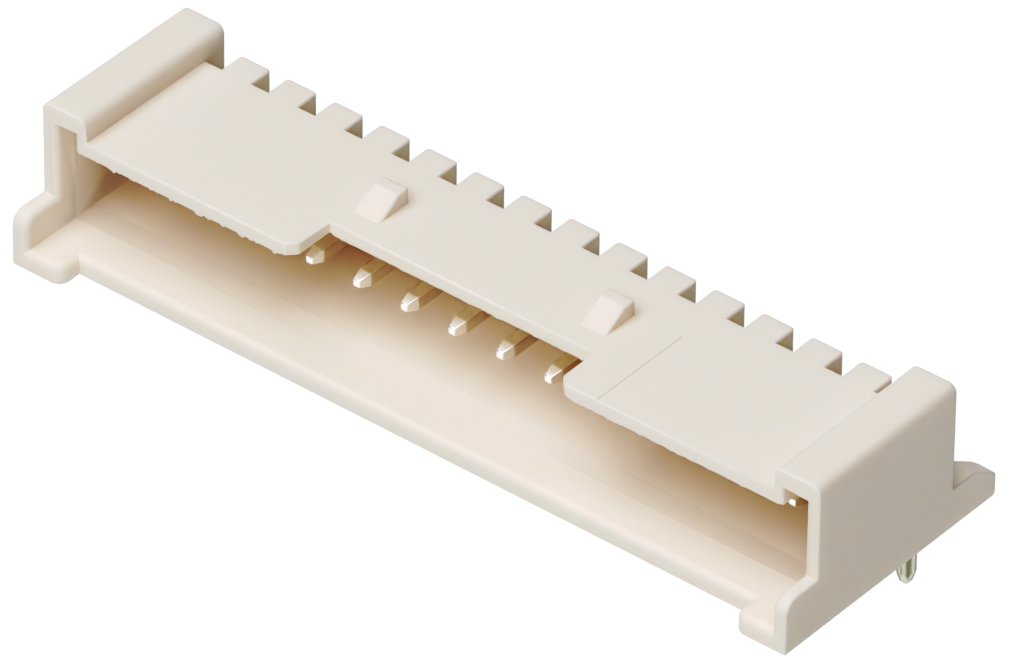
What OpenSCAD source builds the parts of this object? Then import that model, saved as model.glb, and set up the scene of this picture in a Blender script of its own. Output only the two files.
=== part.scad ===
// Shrouded right-angle board header: one moulded housing and a row of bent square contacts.
// Millimetres. x runs along the row, the plug enters along +y, z = 0 is the board's surface,
// and the contacts' solder tails stand on the line y = 0.

/* [Row] */
// Number of contacts in the row
circuits = 15; // [10:1:20]
// Distance between neighbouring contacts
pitch = 2.0; // [1.8:0.05:2.5]
// From the last contact's centre to the end of the housing
end_margin = 2.2; // [2:0.05:3]

/* [Shroud] */
// From the back of the ribs to the front face of the shroud
shroud_depth = 7.08; // [6:0.02:9]
// Height of the roof's upper face above the board
roof_h = 4.85; // [4.4:0.05:6]
// Thickness of the roof
roof_t = 0.5; // [0.35:0.05:0.7]
// Thickness of the floor
floor_t = 0.75; // [0.5:0.05:1]
// Thickness of the two end walls
wall_t = 0.6; // [0.4:0.05:0.8]
// Thickness of the wall that holds the contacts
back_wall_t = 0.6; // [0.4:0.05:1.2]
// Rounding of the edges round the mouth, where the plug enters
mouth_r = 0.28; // [0.1:0.02:0.32]
// From the front face to the step inside the mouth
mouth_step_in = 0.9; // [0.5:0.05:1.3]
// From the front face to the second step of the floor
floor_step_in = 1.8; // [1.4:0.05:2.4]
// Height of one step inside the mouth
step_t = 0.04; // [0.02:0.01:0.1]

/* [Keyways] */
// Height of the two raised channels above the roof
key_rise = 0.9; // [0.6:0.05:1.4]
// Thickness of the channel's top
key_top_t = 0.7; // [0.4:0.05:0.8]
// Thickness of the channel's inner wall
key_wall_t = 0.4; // [0.3:0.05:0.6]
// Rounding of the channel's two upper edges
key_r = 0.35; // [0.1:0.05:0.5]

/* [Roof] */
// Width of the recess in the roof's front edge
recess_w = 11.0; // [8:0.1:14]
// Depth of that recess, back from the front face
recess_depth = 1.88; // [1:0.02:2.4]
// Chamfer of the recess's two front corners
recess_chamfer = 0.35; // [0.1:0.05:0.6]
// Distance between the centres of the two lock ramps
ramp_spacing = 9.44; // [6:0.02:10]
// Width of a lock ramp
ramp_w = 1.08; // [0.6:0.02:1.6]
// Height of a lock ramp above the roof
ramp_h = 0.6; // [0.3:0.05:0.9]
// Length of the ramp's sloping face
ramp_slope = 1.03; // [0.6:0.01:1.4]
// Length of the ramp's flat crest
ramp_crest = 0.5; // [0.2:0.05:0.8]
// From the recess's edge back to the foot of the ramp
ramp_setback = 0.9; // [0.4:0.05:1.4]

/* [Ears, feet and ribs] */
// How far the floor stands out in front of the shroud
lip_reach = 0.66; // [0.3:0.02:1.1]
// How far the two ears stand out in front of the shroud
ear_reach = 1.6; // [1.3:0.05:2.2]
// Width of an ear along the row
ear_w = 2.1; // [1.4:0.05:3]
// Height of an ear's side wall
ear_h = 2.1; // [1.5:0.05:2.8]
// Rounding of the ear's upper front corner
ear_r = 0.55; // [0.35:0.05:0.7]
// Rounding of the ear's inner front corner, seen from above
ear_corner_r = 0.45; // [0.35:0.05:0.6]
// How far the two feet stand out behind the ribs
foot_reach = 2.26; // [1.4:0.02:3]
// Width of a foot along the row
foot_w = 1.0; // [0.7:0.05:1.6]
// Height of a foot where it leaves the end wall
foot_h = 1.55; // [1.2:0.05:2.2]
// Height of a foot at its rear end
foot_end_h = 0.88; // [0.5:0.02:1.1]
// Length of the foot's sloping top
foot_slope = 1.1; // [0.6:0.05:1.3]
// Rounding of the foot's inner rear corner, seen from above
foot_corner_r = 0.35; // [0.1:0.05:0.5]
// Rounding of the foot's lower rear edge
foot_edge_r = 0.18; // [0.05:0.01:0.3]
// Width of the slot behind each contact
slot_w = 0.7; // [0.6:0.02:1]
// Depth of the slots, which leaves the ribs between them
slot_depth = 1.0; // [0.6:0.05:1.4]

/* [Contacts] */
// Side of the square contact wire
wire = 0.5; // [0.4:0.02:0.58]
// Height of the mating pins' centre line above the board
pin_h = 3.3; // [2.8:0.05:3.6]
// Length of the mating pin in front of the back wall
pin_len = 4.05; // [3:0.05:5]
// Length of the solder tail below the board's surface
tail_len = 3.6; // [2.4:0.05:4.4]
// From the back of the ribs to the tails' centre line
tail_gap = 0.55; // [0.4:0.05:1]
// Bend radius on the wire's centre line
bend_r = 0.6; // [0.45:0.05:0.9]
// Length of the mating pin's tapered tip
pin_tip_len = 0.46; // [0.3:0.02:0.8]
// Side of the square end of the mating pin
pin_tip_side = 0.27; // [0.15:0.01:0.35]
// Length of the solder tail's tapered tip
tail_tip_len = 0.42; // [0.3:0.02:0.8]
// Side of the square end of the solder tail
tail_tip_side = 0.31; // [0.15:0.01:0.35]
// Gap between a contact and its hole, on each side
hole_gap = 0.01; // [0.005:0.005:0.03]

/* [Hidden] */
$fn = 48;
// Cutters reach this far past the faces that they cut
past = 0.5;
// How far an added shape is rooted in what carries it
root = 0.2;

row_len = (circuits - 1) * pitch;
half_len = row_len / 2 + end_margin;
top_h = roof_h + key_rise;
roof_under = roof_h - roof_t;

// Stations along y, from the back to the front
rib_back_y = -tail_gap;
foot_back_y = rib_back_y + foot_reach;
slot_y = rib_back_y - slot_depth;
cavity_back_y = slot_y - back_wall_t;
front_y = rib_back_y - shroud_depth;
recess_y = front_y + recess_depth;
lip_y = front_y - lip_reach;
ear_y = front_y - ear_reach;
tip_y = cavity_back_y - pin_len;

// Stations along x, on the right-hand end
wall_in = half_len - wall_t;
key_in = row_len / 2 + slot_w / 2;
key_gap_in = key_in + key_wall_t;
ear_in = half_len - ear_w;
foot_in = half_len - foot_w;

function contact_x(i) = (i - (circuits - 1) / 2) * pitch;
function contact_name(i) = str("contact_", i < 9 ? "0" : "", i + 1);

// Extrudes an outline drawn in x and z from y0 to y1
module along_y(y0, y1) {
    translate([0, y1, 0])
        rotate([90, 0, 0])
            linear_extrude(y1 - y0) children();
}

// Extrudes an outline drawn in y and z from x0 to x1
module along_x(x0, x1) {
    translate([x0, 0, 0])
        rotate([90, 0, 90])
            linear_extrude(x1 - x0) children();
}

// Extrudes an outline drawn in x and y from z0 to z1
module along_z(z0, z1) {
    translate([0, 0, z0])
        linear_extrude(z1 - z0) children();
}

// Repeats a right-hand shape on the left-hand end
module both_ends() {
    children();
    mirror([1, 0, 0]) children();
}

// Section of the waste outside a rounded corner: the corner is at the origin, the material up and right
module corner_waste(r) {
    difference() {
        translate([-past, -past]) square(r + past);
        translate([r, r]) circle(r);
    }
}

// Front view: the roof between two raised channels with rounded upper edges
module front_outline() {
    translate([-half_len, 0]) square([2 * half_len, roof_h]);
    both_ends() {
        translate([key_in, 0]) square([half_len - key_in, top_h - key_r]);
        translate([key_in + key_r, 0]) square([half_len - key_in - 2 * key_r, top_h]);
        for (x = [key_in + key_r, half_len - key_r])
            translate([x, top_h - key_r]) circle(key_r);
    }
}

// Side view: the shroud, the ear in front of it and the sloping foot behind it
module end_outline() {
    translate([front_y, 0]) square([shroud_depth, top_h]);
    translate([ear_y, 0]) square([ear_reach + root, ear_h - ear_r]);
    translate([ear_y + ear_r, 0]) square([ear_reach - ear_r + root, ear_h]);
    translate([ear_y + ear_r, ear_h - ear_r]) circle(ear_r);
    polygon([
        [rib_back_y - root, 0],
        [foot_back_y, 0],
        [foot_back_y, foot_end_h],
        [foot_back_y - foot_slope, foot_h],
        [rib_back_y - root, foot_h]
    ]);
}

// Front view of the plug's space: the mouth and a keyway at each end, narrower by a step where inset is set
module plug_outline(inset) {
    half = wall_in - inset;
    translate([-half, floor_t + inset]) square([2 * half, roof_under - floor_t - inset]);
    both_ends()
        translate([key_gap_in, floor_t + inset])
            square([half - key_gap_in, top_h - key_top_t - floor_t - inset]);
}

// The space that takes the plug, with one step all round and a second one in the floor
module plug_space() {
    along_y(ear_y - past, front_y + mouth_step_in) plug_outline(0);
    difference() {
        along_y(front_y, cavity_back_y) plug_outline(step_t);
        translate([-half_len, front_y + floor_step_in, 0])
            cube([2 * half_len, shroud_depth, floor_t + 2 * step_t]);
    }
}

// Waste where a rounded upper edge turns through an inner corner, which is at the origin
module inner_corner_waste() {
    rotate_extrude(angle = 90)
        intersection() {
            mirror([0, 1]) corner_waste(mouth_r);
            translate([0, -mouth_r]) square(mouth_r);
        }
}

// Waste that rounds the upper edge of a step seen from above: a long face on the line y = 0 up to x = 0, then
// the step's side, forward by run to a corner of radius corner_r, then the step's own face up to x = end
module step_edge_waste(lead, run, corner_r, end) {
    along_x(-lead, 0)
        mirror([0, 1]) corner_waste(mouth_r);
    inner_corner_waste();
    along_y(corner_r - run, 0)
        mirror([0, 1]) corner_waste(mouth_r);
    translate([corner_r, corner_r - run, 0])
        rotate([0, 0, 180])
            rotate_extrude(angle = 90)
                translate([corner_r, 0]) rotate(180) corner_waste(mouth_r);
    along_x(corner_r, end)
        translate([-run, 0]) mirror([0, 1]) corner_waste(mouth_r);
}

// Waste on the right-hand half of the mouth's edge: down the end wall, over the ear, and back along the floor
module mouth_rounding() {
    translate([wall_in, front_y, ear_h])
        mirror([1, 0, 0])
            rotate([0, 90, 0])
                step_edge_waste(
                    lead = top_h - key_top_t - ear_h,
                    run = ear_reach,
                    corner_r = ear_r,
                    end = ear_h - floor_t
                );
    translate([wall_in, ear_y, floor_t])
        mirror([0, 1, 0])
            rotate([-90, 0, 0]) inner_corner_waste();
    translate([ear_in, lip_y, floor_t])
        step_edge_waste(
            lead = ear_in,
            run = ear_reach - lip_reach,
            corner_r = ear_corner_r,
            end = wall_in - ear_in
        );
}

// Plan of the gap between the ears, in front of the floor
module ear_gap_outline() {
    translate([-ear_in, ear_y - past]) square([2 * ear_in, lip_y - ear_y + past]);
    both_ends() translate([ear_in, ear_y]) corner_waste(ear_corner_r);
}

// Plan of the gap between the feet, behind the ribs
module foot_gap_outline() {
    translate([-foot_in, rib_back_y]) square([2 * foot_in, foot_reach + past]);
    both_ends() translate([foot_in, foot_back_y]) mirror([0, 1]) corner_waste(foot_corner_r);
}

// Plan of the recess in the roof's front edge, with chamfered corners
module recess_outline() {
    half = recess_w / 2;
    polygon([
        [-half - recess_chamfer - past, front_y - past],
        [half + recess_chamfer + past, front_y - past],
        [half, front_y + recess_chamfer],
        [half, recess_y],
        [-half, recess_y],
        [-half, front_y + recess_chamfer]
    ]);
}

// Plan of the slots in which the contacts turn down to the board
module slots_outline() {
    for (i = [0 : circuits - 1])
        translate([contact_x(i) - slot_w / 2, slot_y]) square([slot_w, slot_depth + past]);
}

// Square holes through the back wall, one for each contact
module contact_holes() {
    side = wire + 2 * hole_gap;
    along_y(cavity_back_y - past, slot_y + past)
        for (i = [0 : circuits - 1])
            translate([contact_x(i), pin_h]) square(side, center = true);
}

// Two wedges on the roof that the plug's latch snaps over
module lock_ramps() {
    ramp_y = recess_y + ramp_setback;
    crest_y = ramp_y + ramp_slope;
    back_y = crest_y + ramp_crest;
    for (x = [-1, 1] * ramp_spacing / 2)
        along_x(x - ramp_w / 2, x + ramp_w / 2)
            polygon([
                [ramp_y, roof_h - root],
                [ramp_y, roof_h],
                [crest_y, roof_h + ramp_h],
                [back_y, roof_h + ramp_h],
                [back_y, roof_h - root]
            ]);
}

module housing() {
    color("antiquewhite") {
        difference() {
            intersection() {
                along_y(ear_y, foot_back_y) front_outline();
                along_x(-half_len, half_len) end_outline();
            }
            plug_space();
            both_ends() mouth_rounding();
            along_z(-past, top_h) ear_gap_outline();
            along_z(-past, top_h + past) foot_gap_outline();
            along_x(-half_len - past, half_len + past)
                translate([foot_back_y, 0]) mirror([1, 0]) corner_waste(foot_edge_r);
            along_z(roof_under - step_t, top_h) recess_outline();
            along_z(-past, top_h + past) slots_outline();
            contact_holes();
        }
        lock_ramps();
    }
}

// Side view of a bar along the second axis from 0 to len, with a tapered tip at its far end
module tipped_bar_outline(len, tip_len, tip_side) {
    polygon([
        [-wire / 2, 0],
        [wire / 2, 0],
        [wire / 2, len - tip_len],
        [tip_side / 2, len],
        [-tip_side / 2, len],
        [-wire / 2, len - tip_len]
    ]);
}

// Square bar along z from 0 to len, its tip tapered on all four sides
module tipped_bar(len, tip_len, tip_side) {
    intersection() {
        along_y(-wire, wire) tipped_bar_outline(len, tip_len, tip_side);
        along_x(-wire, wire) tipped_bar_outline(len, tip_len, tip_side);
    }
}

// One contact: the mating pin, the bend and the solder tail, in the plane x = 0
module contact() {
    color("silver") {
        translate([0, -bend_r, pin_h])
            rotate([90, 0, 0]) tipped_bar(-bend_r - tip_y, pin_tip_len, pin_tip_side);
        translate([0, -bend_r, pin_h - bend_r])
            rotate([90, 0, 90])
                rotate_extrude(angle = 90)
                    translate([bend_r, 0]) square(wire, center = true);
        translate([0, 0, pin_h - bend_r])
            mirror([0, 0, 1]) tipped_bar(pin_h - bend_r + tail_len, tail_tip_len, tail_tip_side);
    }
}

housing();
for (i = [0 : circuits - 1])
    translate([contact_x(i), 0, 0]) contact();
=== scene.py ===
# %% [markdown]
# # A shrouded right-angle pin header
# The real part is two things: one ivory nylon moulding, and a row of square tin-plated contacts pressed
# through its back wall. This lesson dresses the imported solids: it softens the moulding's edges, adds the
# small marks that the mould leaves, gives nylon and tin their finishes, and lights the part as on a white
# light table.

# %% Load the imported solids
import math

import bmesh
import bpy
from mathutils import Matrix, Vector, noise


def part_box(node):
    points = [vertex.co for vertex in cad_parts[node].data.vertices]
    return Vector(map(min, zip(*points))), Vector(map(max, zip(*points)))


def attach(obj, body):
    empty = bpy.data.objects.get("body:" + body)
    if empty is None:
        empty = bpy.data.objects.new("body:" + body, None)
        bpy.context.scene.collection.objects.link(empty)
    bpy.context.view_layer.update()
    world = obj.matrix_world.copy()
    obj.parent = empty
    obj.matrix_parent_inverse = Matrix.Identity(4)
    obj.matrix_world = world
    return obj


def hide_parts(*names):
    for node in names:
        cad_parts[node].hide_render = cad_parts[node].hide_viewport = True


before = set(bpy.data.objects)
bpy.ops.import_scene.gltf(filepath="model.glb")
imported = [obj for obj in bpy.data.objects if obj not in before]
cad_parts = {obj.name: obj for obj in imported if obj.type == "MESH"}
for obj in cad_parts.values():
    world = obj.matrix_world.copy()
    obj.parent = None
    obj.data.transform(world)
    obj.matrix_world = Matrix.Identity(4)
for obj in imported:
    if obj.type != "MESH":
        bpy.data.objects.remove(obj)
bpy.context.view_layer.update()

MM = 0.001
print("solids:", ", ".join(sorted(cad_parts)))

# %% [markdown]
# ## Where things are
# Most places in this lesson come from the solids' own boxes. The housing's box gives the ears' front, the
# feet's back and the top of the raised channels. The contacts' boxes give the row's ends, the wire's
# thickness and the line of the solder tails.

# %% Measure the solids
housing_low, housing_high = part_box("housing")
contact_names = sorted(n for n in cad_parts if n.startswith("contact_"))
contact_boxes = {n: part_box(n) for n in contact_names}
contact_low, contact_high = contact_boxes[contact_names[0]]
wire = contact_high.x - contact_low.x
tail_front = contact_high.y - wire
row_half = -contact_low.x
table_height = min(low.z for low, high in contact_boxes.values())
print(f"housing {tuple(round(v / MM, 2) for v in housing_high - housing_low)} mm")
print(f"{len(contact_names)} contacts of {wire / MM:.2f} mm wire, tails end at {table_height / MM:.2f} mm")

# %% [markdown]
# ## The camera
# A part this small is photographed from far away through a long lens, so its long edges stay nearly
# parallel. The camera looks at a point inside the mouth from the front right, a little less than half-way
# up, and is turned by half a degree, as a hand-placed part is. A matrix built from the three view axes
# says this more plainly than angles.

# %% Place the camera
AZIMUTH = math.radians(38.943)
ELEVATION = math.radians(37.055)
ROLL = math.radians(0.594)
AIM = Vector((0.6948, -4.2772, 2.4)) * MM
DISTANCE = 413.79 * MM
LENS_MM = 454.96
SENSOR_MM = 36.0
FAR_END = 10.0

right = Vector((math.cos(AZIMUTH), math.sin(AZIMUTH), 0.0))
back = Vector((
    math.sin(AZIMUTH) * math.cos(ELEVATION),
    -math.cos(AZIMUTH) * math.cos(ELEVATION),
    math.sin(ELEVATION),
))
up = back.cross(right)
tilted_right = right * math.cos(ROLL) + up * math.sin(ROLL)
tilted_up = up * math.cos(ROLL) - right * math.sin(ROLL)
view_axes = Matrix((tilted_right, tilted_up, back)).transposed()

scene = bpy.context.scene
camera = bpy.data.objects.new("camera", bpy.data.cameras.new("camera"))
camera.matrix_world = Matrix.Translation(AIM + back * DISTANCE) @ view_axes.to_4x4()
camera.data.lens = LENS_MM
camera.data.sensor_width = SENSOR_MM
camera.data.clip_end = FAR_END
scene.collection.objects.link(camera)
scene.camera = camera
print(f"camera at {tuple(round(v, 3) for v in camera.location)} m")

# %% [markdown]
# ## A working copy of a solid
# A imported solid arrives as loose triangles. Bevels need joined faces, so a copy is merged at its doubles,
# and flat neighbours are dissolved into one face each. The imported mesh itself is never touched: the copy
# stands for it. The floor has steps that are a few hundredths of a millimetre high. No bevel fits on
# those, so they are told apart by how narrow they are.

# %% Copy, merge and clean a solid
MERGE_DISTANCE = 1e-4 * MM
FLAT_ANGLE = math.radians(0.5)
SQUARE_ANGLE = math.radians(80.0)
HAIR = 0.06 * MM


def is_step(face):
    """True for the riser of a hair-high step: a narrow face that is square to its neighbours."""
    width = 2 * face.calc_area() / face.calc_perimeter()
    long_edges = [edge for edge in face.edges if edge.calc_length() > HAIR]
    return width < HAIR and all(edge.calc_face_angle() > SQUARE_ANGLE for edge in long_edges)


def beside_step(edge):
    """True for an edge of such a riser."""
    return any(is_step(face) for face in edge.link_faces)


def working_copy(node, crease_angle):
    """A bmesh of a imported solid, with its doubles merged, its flat faces joined and its creases marked."""
    bm = bmesh.new()
    bm.from_mesh(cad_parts[node].data)
    bmesh.ops.remove_doubles(bm, verts=bm.verts, dist=MERGE_DISTANCE)
    bmesh.ops.dissolve_limit(bm, angle_limit=FLAT_ANGLE, verts=bm.verts, edges=bm.edges)
    for edge in bm.edges:
        edge.smooth = edge.calc_face_angle() < crease_angle or beside_step(edge)
    return bm


# %% [markdown]
# ## Picking and rounding edges
# A bevel is told which edges to take. On a moulding or a wire these are the ones that stick out, so the
# signed angle between an edge's two faces picks them. An edge's run and its middle then tell a rib's edge
# from a roof's.

# %% Pick edges and round them off
SHARP_ANGLE = math.radians(40.0)
ALIGNED = 0.999
X_AXIS = 0
Z_AXIS = 2


def outer_edges(bm):
    """The edges that stick out, apart from hair-high steps and the bits of edge inside a rounded corner."""
    chosen = []
    for edge in bm.edges:
        angle = edge.calc_face_angle_signed()
        corner_bit = edge.calc_length() < HAIR and angle < SQUARE_ANGLE
        if angle > SHARP_ANGLE and not corner_bit and not beside_step(edge):
            chosen.append(edge)
    return chosen


def runs_along(edge, axis):
    """True for an edge that is parallel to an axis."""
    run = (edge.verts[1].co - edge.verts[0].co).normalized()
    return abs(run[axis]) > ALIGNED


def middle(edge):
    """The point half-way along an edge."""
    return (edge.verts[0].co + edge.verts[1].co) / 2


def round_off(bm, edges, radius, segments):
    """Rolls a small radius over the edges."""
    bmesh.ops.bevel(
        bm, geom=edges, offset=radius, offset_type="OFFSET", affect="EDGES",
        segments=segments, profile=0.5, material=-1, loop_slide=True,
    )


# %% [markdown]
# ## From a mesh to a piece
# A finished mesh becomes an object that rides on the part and stands for its solid. All faces are shaded
# smooth, and a Weighted Normal modifier leans the shading towards the large faces, so flats look flat and
# only the narrow bevels look round.

# %% Make a piece
def make_piece(name, bm, node, finish):
    """Turns the bmesh into a smooth-shaded piece that rides on the part and stands for its solid."""
    mesh = bpy.data.meshes.new(name)
    for face in bm.faces:
        face.smooth = True
    bm.to_mesh(mesh)
    bm.free()
    piece = bpy.data.objects.new(name, mesh)
    scene.collection.objects.link(piece)
    flats = piece.modifiers.new("keep flats flat", "WEIGHTED_NORMAL")
    flats.keep_sharp = True
    mesh.materials.append(finish)
    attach(piece, "root")
    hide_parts(node)
    print(f"{name}: {len(mesh.polygons)} faces")


# %% [markdown]
# ## Short ways to build a material
# A material is a small net of nodes. These helpers add a node with its settings and its links in one
# line, and make the three things that both finishes need: a value that changes at a place along an axis,
# one factor made of two, and a mix of two colours.

# %% Add nodes and join them
SOFT_END = 0.03 * MM
COLOUR_A = 6
COLOUR_B = 7
COLOUR_RESULT = 2


def new_material(name):
    """A material with nodes, and its shader."""
    material = bpy.data.materials.new(name)
    material.use_nodes = True
    tree = material.node_tree
    return material, tree, tree.nodes["Principled BSDF"]


def add_node(tree, kind, joined=None, **settings):
    """Adds a node, sets its settings and sockets by their names, and joins outputs to its sockets."""
    node = tree.nodes.new(kind)
    for key, value in settings.items():
        if hasattr(node, key):
            setattr(node, key, value)
        else:
            node.inputs[key.replace("_", " ")].default_value = value
    for socket, output in (joined or {}).items():
        tree.links.new(output, node.inputs[socket])
    return node


def set_sockets(shader, values):
    """Sets what is the same all over a surface, on the shader's own sockets."""
    for socket, value in values.items():
        shader.inputs[socket].default_value = value


def stretch(tree, along, place, below, above):
    """A value that is one thing below a place along an axis and another above it."""
    step = add_node(
        tree, "ShaderNodeMapRange", {"Value": along},
        From_Min=place, From_Max=place + SOFT_END, To_Min=below, To_Max=above,
    )
    return step.outputs["Result"]


def combine(tree, operation, first, second):
    """One factor made of two, such as their product or the larger of them."""
    node = add_node(tree, "ShaderNodeMath", {0: first, 1: second}, operation=operation)
    return node.outputs["Value"]


def blend(tree, factor, first, second):
    """A mix of two colours, or of two colour sockets."""
    mix = add_node(tree, "ShaderNodeMix", {"Factor": factor}, data_type="RGBA")
    for socket, colour in ((mix.inputs[COLOUR_A], first), (mix.inputs[COLOUR_B], second)):
        if isinstance(colour, tuple):
            socket.default_value = colour
        else:
            tree.links.new(colour, socket)
    return mix.outputs[COLOUR_RESULT]


# %% [markdown]
# ## Nylon's colour
# Natural nylon is a warm ivory. Where light bounces many times, as deep in the mouth, the ivory
# multiplies with itself and turns to amber, so the colour only has to be right once and the bounces do
# the rest. It drifts a little where the melt cooled unevenly. On the roof, right of the recess, a dark
# hairline is painted where an insert was set into the mould. It is painted shade: it stands in for the
# shade in the faint groove that the insert leaves, and the groove itself isn't modelled. It is drawn by
# the object's own X, and Y and Z say where it ends.

# %% Nylon's colour
NYLON_PALE = (0.909, 0.824, 0.742, 1.0)
NYLON_WARM = (0.899, 0.808, 0.720, 1.0)
# The colour of the insert's hairline is painted shade for its faint groove.
GROOVE_PAINTED_SHADE = (0.56, 0.52, 0.47, 1.0)
MELT_DRIFT = {"Scale": 260.0, "Detail": 3.0, "Roughness": 0.55}
INSERT_LINE = 7.15 * MM
INSERT_LINE_END = -3.3 * MM
INSERT_LINE_HALF = 0.016 * MM
ROOF_DROP = 0.95 * MM

nylon, tree, shader = new_material("ivory nylon")
spot = add_node(tree, "ShaderNodeTexCoord").outputs["Object"]
axes = add_node(tree, "ShaderNodeSeparateXYZ", {"Vector": spot}).outputs
drift = add_node(tree, "ShaderNodeTexNoise", {"Vector": spot}, **MELT_DRIFT).outputs["Fac"]

on_line = add_node(tree, "ShaderNodeMath", {0: axes["X"]}, operation="COMPARE")
on_line.inputs[1].default_value = INSERT_LINE
on_line.inputs[2].default_value = INSERT_LINE_HALF
in_front = stretch(tree, axes["Y"], INSERT_LINE_END, 1.0, 0.0)
high_up = stretch(tree, axes["Z"], housing_high.z - ROOF_DROP, 0.0, 1.0)
on_roof = combine(tree, "MULTIPLY", in_front, high_up)
# The hairline is painted shade: a dark line that stands in for the shade in the insert's groove.
painted_hairline_shade = combine(tree, "MULTIPLY", on_line.outputs["Value"], on_roof)

ivory = blend(tree, drift, NYLON_PALE, NYLON_WARM)
tree.links.new(blend(tree, painted_hairline_shade, ivory, GROOVE_PAINTED_SHADE), shader.inputs["Base Color"])
print("nylon's colour:", len(tree.nodes), "nodes")

# %% [markdown]
# ## Nylon's surface
# The mould's spark-eroded steel leaves a fine satin grain, which is a bump of two hundredths of a
# millimetre, and the gloss drifts with the colour. Nylon lets some light through, red furthest and blue
# least, so the shader scatters light under the surface over a little less than a millimetre.

# %% Nylon's surface
SATIN_GRAIN = {"Scale": 14000.0, "Detail": 2.0, "Roughness": 0.6}
SATIN_BUMP = {"Strength": 0.12, "Distance": 0.02 * MM}
SATIN_GLOSS = {"To_Min": 0.48, "To_Max": 0.60}
NYLON_BODY = {
    "IOR": 1.53,
    "Specular IOR Level": 0.3,
    "Subsurface Weight": 0.4,
    "Subsurface Radius": (1.0, 0.8, 0.6),
    "Subsurface Scale": 0.9 * MM,
}

grain = add_node(tree, "ShaderNodeTexNoise", {"Vector": spot}, **SATIN_GRAIN).outputs["Fac"]
satin = add_node(tree, "ShaderNodeBump", {"Height": grain}, **SATIN_BUMP)
gloss = add_node(tree, "ShaderNodeMapRange", {"Value": drift}, **SATIN_GLOSS)
tree.links.new(satin.outputs["Normal"], shader.inputs["Normal"])
tree.links.new(gloss.outputs["Result"], shader.inputs["Roughness"])
set_sockets(shader, NYLON_BODY)
print("nylon:", len(tree.nodes), "nodes")

# %% [markdown]
# ## The housing's ribs
# The rear of the moulding is a comb: a rib stands between each pair of contacts. The cutter that made
# this comb in the mould was round, so the ribs' upright rear edges have a larger radius than the rest.
# They are rounded first, because a bevel that runs over an already rounded corner follows it cleanly.

# %% Round the ribs' rear edges
MOULD_CREASE = math.radians(25.0)
RIB_RADIUS = 0.15 * MM
RIB_SEGMENTS = 4
RIB_DEPTH = 0.5 * MM


def rears_a_rib(edge):
    """True for the upright edges between the first and last contact, just in front of the solder tails."""
    behind = tail_front - RIB_DEPTH < middle(edge).y < tail_front
    return runs_along(edge, Z_AXIS) and behind and abs(middle(edge).x) < row_half


housing_mesh = working_copy("housing", MOULD_CREASE)
rib_edges = [edge for edge in outer_edges(housing_mesh) if rears_a_rib(edge)]
round_off(housing_mesh, rib_edges, RIB_RADIUS, RIB_SEGMENTS)
print(f"{len(rib_edges)} rib edges rounded")

# %% [markdown]
# ## Strips under the roof's edge
# Where the two halves of a worn mould meet, a little melt creeps out and tears off when the part is
# ejected. This flash leaves the lower front edge of the roof slightly ragged, most of all on the left. To
# have points that can hang down, a narrow strip of the roof's underside is cut off along that edge and
# divided into short pieces. A plane cuts cleanly only through a face that it crosses once, so the
# underside is first parted beside the recess. The strips end a little before the corners, where the later
# rounding needs a plain edge.

# %% Cut the strips
FLASH_STRIP = 0.10 * MM
FLASH_STEP = 0.05 * MM
FLASH_SHARES = {"left": 1.0, "recess": 0.5, "right": 0.35}
ROOF_EDGE = 5 * MM


def is_roof_front_edge(edge):
    """True for the lower front edge of the roof: left of the recess, at its back, and right of it."""
    on_the_roof = middle(edge).z > contact_high.z and edge.calc_length() > ROOF_EDGE
    faces_down = any(face.normal.z < -ALIGNED for face in edge.link_faces)
    return runs_along(edge, X_AXIS) and on_the_roof and faces_down


def roof_front_edges():
    """The three stretches of the roof's lower front edge, by their names."""
    found = [edge for edge in outer_edges(housing_mesh) if is_roof_front_edge(edge)]
    return dict(zip(FLASH_SHARES, sorted(found, key=lambda edge: middle(edge).x)))


def underside(stretch_name):
    """The face under the roof that meets a stretch of its lower front edge."""
    edge = roof_front_edges()[stretch_name]
    return next(face for face in edge.link_faces if face.normal.z < -ALIGNED)


def cut_underside(stretch_name, point, normal):
    """Cuts the face under a stretch by a plane."""
    face = underside(stretch_name)
    around = [face, *face.edges, *face.verts]
    bmesh.ops.bisect_plane(housing_mesh, geom=around, plane_co=point, plane_no=normal)


def cut_across(stretch_name, x):
    """Cuts it square to the row, at a place along the row."""
    cut_underside(stretch_name, (x, 0.0, 0.0), (1.0, 0.0, 0.0))


roof_edges = roof_front_edges()
front_lines = {name: middle(edge).y for name, edge in roof_edges.items()}
roof_under = middle(roof_edges["left"]).z
recess_half = roof_edges["recess"].calc_length() / 2
recess_end = min(abs(v.co.x) for v in roof_edges["left"].verts)
roof_end = max(abs(v.co.x) for v in roof_edges["left"].verts)
for side in (-1, 1):
    cut_across("recess", side * (recess_end + FLASH_STRIP))
for name, front in front_lines.items():
    cut_underside(name, (0.0, front + FLASH_STRIP, 0.0), (0.0, 1.0, 0.0))
for side in (-1, 1):
    cut_across("recess", side * (recess_half - FLASH_STRIP))
cut_across("left", FLASH_STRIP - roof_end)
cut_across("right", roof_end - FLASH_STRIP)

strips = {name: underside(name) for name in front_lines}
spans = {}
for name, strip in strips.items():
    rails = [edge for edge in strip.edges if runs_along(edge, X_AXIS)]
    spans[name] = sorted(v.co.x for v in rails[0].verts)
    pieces = round(rails[0].calc_length() / FLASH_STEP)
    bmesh.ops.subdivide_edges(housing_mesh, edges=rails, cuts=pieces, use_grid_fill=True)
    print(f"strip {name}: {pieces} cuts")

# %% [markdown]
# ## Flash
# The strips' front points are now let down by a noise with a slow and a fast wave. Its lower part is cut
# off, so bare stretches stay straight, and its slopes are steep, so the rest looks torn. The flash is
# real geometry, hangs down by a tenth of a millimetre at most, and leaves the faces around it flat. The
# points are picked by their place, because a list of points doesn't outlast the next cut.

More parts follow.
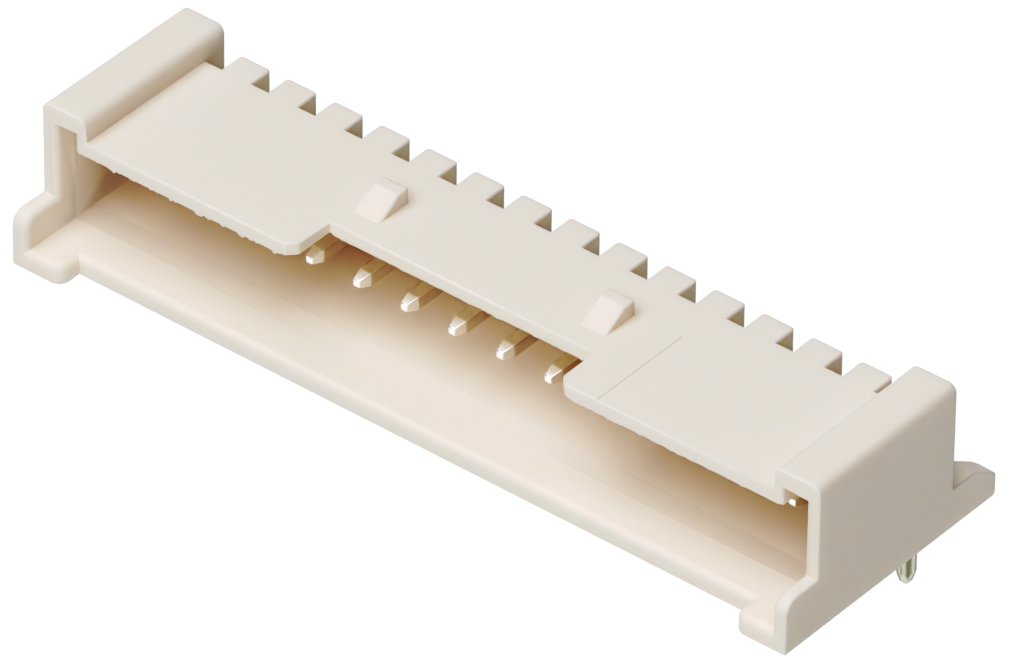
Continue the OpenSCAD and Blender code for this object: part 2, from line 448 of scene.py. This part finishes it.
# %% Let the flash hang down
FLASH_DROP = 0.10 * MM
FLASH_WAVE = 0.36 * MM
FLASH_SEED = 7.3
FLASH_FINE = 3.0
FLASH_FINE_SHARE = 0.9
FLASH_BARE = 0.05
FLASH_TEAR = 1.7


def flash_at(x):
    """How far the whole flash hangs down at a place along the edge."""
    slow = noise.noise(Vector((x / FLASH_WAVE, FLASH_SEED, 0.0)))
    fast = noise.noise(Vector((FLASH_FINE * x / FLASH_WAVE, 0.0, FLASH_SEED)))
    hang = FLASH_TEAR * (slow + FLASH_FINE_SHARE * fast - FLASH_BARE)
    return FLASH_DROP * min(1.0, max(0.0, hang))


def hangs(point, stretch_name):
    """True for the points along a divided stretch of the edge, between its ends."""
    start, end = spans[stretch_name]
    between = start + MERGE_DISTANCE < point.co.x < end - MERGE_DISTANCE
    on_front_line = abs(point.co.y - front_lines[stretch_name]) < MERGE_DISTANCE
    return between and on_front_line and abs(point.co.z - roof_under) < MERGE_DISTANCE


ragged_points = set()
for name, share in FLASH_SHARES.items():
    hanging = [point for point in housing_mesh.verts if hangs(point, name)]
    for point in hanging:
        point.co.z -= share * flash_at(point.co.x)
    ragged_points.update(hanging)
print(f"{len(ragged_points)} points of flash")

# %% [markdown]
# ## The housing's other edges
# No mould makes a knife edge: every corner that sticks out has a radius of a little under a tenth of a
# millimetre, and that narrow band is what catches the light and makes plastic look moulded. The bevel
# goes on all outer edges at once, apart from the ragged one and the rims of the fifteen square holes,
# which the contacts fill.

# %% Soften the housing's edges
EDGE_RADIUS = 0.07 * MM
EDGE_SEGMENTS = 3
HOLE_MARGIN = 0.05 * MM

hole_top = contact_high.z + HOLE_MARGIN
hole_bottom = contact_high.z - wire - HOLE_MARGIN


def stays_sharp(edge):
    """True for the edges of the square holes in the back wall, and for those of the flash."""
    rims_a_hole = all(hole_bottom < v.co.z < hole_top for v in edge.verts)
    return rims_a_hole or any(v in ragged_points for v in edge.verts)


soft_edges = [edge for edge in outer_edges(housing_mesh) if not stays_sharp(edge)]
round_off(housing_mesh, soft_edges, EDGE_RADIUS, EDGE_SEGMENTS)
make_piece("moulded_housing", housing_mesh, "housing", nylon)

# %% [markdown]
# ## Tin plate
# The contacts are drawn square wire with bright tin over copper alloy. Tin is a soft white metal: it
# mirrors the amber mouth around it, with slightly cloudy patches. Their ends were pressed to a taper
# after plating, which leaves them pale and rougher, so they scatter the light from the front. Behind the
# back wall the tails are painted a darker grey, which is painted shade: it stands in for the shadowed
# surroundings that the tails would mirror. The dark streaks along the tails are painted dark reflections.
# Each of these belongs to a stretch of the wire, so the object's own Y says where.

# %% Tin's colour
TIN_BRIGHT = (0.86, 0.84, 0.80, 1.0)
TIN_CLOUDY = (0.76, 0.74, 0.69, 1.0)
TIN_PRESSED = (0.95, 0.93, 0.90, 1.0)
# The tails' grey is painted shade, and their dark streaks are painted reflections.
TAIL_PAINTED_SHADE_GREY = (0.62, 0.61, 0.54, 1.0)
TAIL_PAINTED_DARK_STREAKS = (0.27, 0.27, 0.22, 1.0)
CLOUDS = {"Scale": 2500.0, "Detail": 3.0, "Roughness": 0.5}
STREAK_STRETCH = {"Scale": (9000.0, 9000.0, 250.0)}
STREAK_PATTERN = {"Scale": 1.0, "Detail": 2.0}
STREAK_CONTRAST = {"From_Min": 0.42, "From_Max": 0.62}
PRESSED_LENGTH = 0.46 * MM
BEHIND_WALL = 1.25 * MM

tip_end = contact_low.y + PRESSED_LENGTH
tail_start = tail_front - BEHIND_WALL

tin, tree, shader = new_material("bright tin plate")
spot = add_node(tree, "ShaderNodeTexCoord").outputs["Object"]
along = add_node(tree, "ShaderNodeSeparateXYZ", {"Vector": spot}).outputs["Y"]
cloud = add_node(tree, "ShaderNodeTexNoise", {"Vector": spot}, **CLOUDS).outputs["Fac"]
streak_space = add_node(tree, "ShaderNodeMapping", {"Vector": spot}, **STREAK_STRETCH).outputs["Vector"]
streaks = add_node(tree, "ShaderNodeTexNoise", {"Vector": streak_space}, **STREAK_PATTERN).outputs["Fac"]
streak_mask = add_node(tree, "ShaderNodeMapRange", {"Value": streaks}, **STREAK_CONTRAST).outputs["Result"]

pin_colour = blend(tree, cloud, TIN_BRIGHT, TIN_CLOUDY)
tipped = blend(tree, stretch(tree, along, tip_end, 1.0, 0.0), pin_colour, TIN_PRESSED)
# The tails' colour: painted shade, with painted dark reflections streaked along the wire.
tail_painted_shade = blend(tree, streak_mask, TAIL_PAINTED_SHADE_GREY, TAIL_PAINTED_DARK_STREAKS)
tin_colour = blend(tree, stretch(tree, along, tail_start, 0.0, 1.0), tipped, tail_painted_shade)
tree.links.new(tin_colour, shader.inputs["Base Color"])
print("tin's colour:", len(tree.nodes), "nodes")

# %% [markdown]
# ## Tin's shine
# Bright tin is nearly a mirror, a little less so where it is cloudy. The pressed tips and the dull tails
# are rougher, so the larger of the roughnesses counts at each place.

# %% Tin's shine
CLOUDY_SHINE = {"To_Min": 0.10, "To_Max": 0.24}
PRESSED_ROUGHNESS = 0.27
TAIL_ROUGHNESS = 0.5
TIN_BODY = {"Metallic": 1.0}

shine = add_node(tree, "ShaderNodeMapRange", {"Value": cloud}, **CLOUDY_SHINE).outputs["Result"]
rough_tip = stretch(tree, along, tip_end, PRESSED_ROUGHNESS, 0.0)
rough_tail = stretch(tree, along, tail_start, 0.0, TAIL_ROUGHNESS)
pin_roughness = combine(tree, "MAXIMUM", shine, rough_tip)
tree.links.new(combine(tree, "MAXIMUM", pin_roughness, rough_tail), shader.inputs["Roughness"])
set_sockets(shader, TIN_BODY)
print("tin:", len(tree.nodes), "nodes")

# %% [markdown]
# ## The contacts
# Each contact is one length of wire: a mating pin, one bend and a solder tail. Drawn wire has slightly
# rounded corners, so each copy gets a very small bevel, and a loop dresses the whole row.

# %% Dress the row of contacts
WIRE_CREASE = math.radians(12.0)
WIRE_RADIUS = 0.03 * MM
WIRE_SEGMENTS = 2

for name in contact_names:
    wire_mesh = working_copy(name, WIRE_CREASE)
    round_off(wire_mesh, outer_edges(wire_mesh), WIRE_RADIUS, WIRE_SEGMENTS)
    make_piece(name.replace("contact", "tinned_contact"), wire_mesh, name, tin)

# %% [markdown]
# ## The light table
# The part stands on a light table: an opal sheet that is lit from behind. It is its own glow that makes
# it white, so the part throws no shadow on it. The table is only a stage, so it isn't part of the object.
# It shows in the camera and in reflections, but the light that it throws belongs to the room, which comes
# next, where it can be set by itself.

# %% Make the table
TABLE_SIDE = 3.0
OPAL_SHEET = {
    "Base Color": (0.05, 0.05, 0.05, 1.0),
    "Roughness": 0.8,
    "Emission Color": (1.0, 1.0, 1.0, 1.0),
    "Emission Strength": 1.0,
}

table_mesh = bmesh.new()
bmesh.ops.create_grid(table_mesh, x_segments=1, y_segments=1, size=TABLE_SIDE / 2)
bmesh.ops.translate(table_mesh, verts=table_mesh.verts, vec=(0.0, 0.0, table_height))
table = bpy.data.objects.new("light_table", bpy.data.meshes.new("light_table"))
table_mesh.to_mesh(table.data)
table_mesh.free()
scene.collection.objects.link(table)

white, tree, shader = new_material("white table")
set_sockets(shader, OPAL_SHEET)
table.data.materials.append(white)
table.visible_diffuse = False
table.visible_shadow = False
print(f"light table of {TABLE_SIDE} m at {table_height / MM:.2f} mm")

# %% [markdown]
# ## The room
# The sheet of a light table throws light up, so the room is bright under the horizon. A map range on the
# height of the view direction makes the soft change there. The ceiling is dark, so that the lamps alone
# light the roof, but metal needs something to mirror, so reflections see it as a dim grey.

# %% Light the room from below
SHEET_LIGHT = (0.955, 1.0, 0.99, 1.0)
LIGHT_FROM_BELOW = 0.42
CEILING = 0.13
HORIZON = 0.15

room = bpy.data.worlds.new("white room")
room.use_nodes = True
tree = room.node_tree
sky = tree.nodes["Background"]
sky.inputs["Color"].default_value = SHEET_LIGHT
view = add_node(tree, "ShaderNodeTexCoord").outputs["Generated"]
height = add_node(tree, "ShaderNodeSeparateXYZ", {"Vector": view}).outputs["Z"]
mirrored = add_node(tree, "ShaderNodeLightPath").outputs["Is Glossy Ray"]
ceiling = add_node(tree, "ShaderNodeMath", {0: mirrored}, operation="MULTIPLY")
ceiling.inputs[1].default_value = CEILING
fade = add_node(
    tree, "ShaderNodeMapRange", {"Value": height, "To Max": ceiling.outputs["Value"]},
    From_Min=-HORIZON, From_Max=HORIZON, To_Min=LIGHT_FROM_BELOW,
)
tree.links.new(fade.outputs["Result"], sky.inputs["Strength"])
scene.world = room
print(f"room: {LIGHT_FROM_BELOW} below the horizon, {CEILING} in mirrors above it")

# %% [markdown]
# ## Soft studio lamps
# One large soft lamp high in front lights the roof and reaches into the mouth, and leaves the right-hand
# end in half shade. A small one behind on the left is what the pins' tips mirror through the recess. One
# under the sheet, on the right, lifts the front and the end wall. Light bounces many times in the mouth,
# so the render is given more bounces than usual.

# %% Hang the lamps
LAMPS = {
    "front_softbox": {"from": (0.0, -0.5, 0.87), "side": 0.7, "watts": 4.4},
    "rear_softbox": {"from": (-0.5, 0.3, 0.81), "side": 0.35, "watts": 0.42},
    "lamp_under_sheet": {"from": (0.65, -0.6, -0.45), "side": 0.7, "watts": 0.72},
}
LAMP_DISTANCE = 0.6
MAX_BOUNCES = 24
DIFFUSE_BOUNCES = 16

for name, plan in LAMPS.items():
    lamp = bpy.data.objects.new(name, bpy.data.lights.new(name, "AREA"))
    direction = Vector(plan["from"]).normalized()
    lamp.location = direction * LAMP_DISTANCE
    lamp.rotation_euler = direction.to_track_quat("Z", "Y").to_euler()
    lamp.data.size = plan["side"]
    lamp.data.energy = plan["watts"]
    lamp.visible_camera = False
    scene.collection.objects.link(lamp)
    print(f"{name}: {plan['watts']} W")

scene.cycles.max_bounces = MAX_BOUNCES
scene.cycles.diffuse_bounces = DIFFUSE_BOUNCES

# %% [markdown]
# ## The picture's tone curve
# A camera doesn't record light in a straight line: it deepens the shadows and eases off towards white.
# The same gentle S-curve goes over the render, which makes the shaded mouth a fuller amber and keeps the
# ivory roof pale.

# %% Set the tone curve
TONE_CURVE = ((0.15, 0.030), (0.30, 0.251), (0.45, 0.469), (0.65, 0.697), (0.82, 0.815))
COMBINED = 3

scene.view_settings.view_transform = "Standard"
scene.view_settings.use_curve_mapping = True
tone_curve = scene.view_settings.curve_mapping.curves[COMBINED]
for light, shown in TONE_CURVE:
    tone_curve.points.new(light, shown).handle_type = "AUTO_CLAMPED"
scene.view_settings.curve_mapping.update()
print(f"tone curve with {len(tone_curve.points)} points")
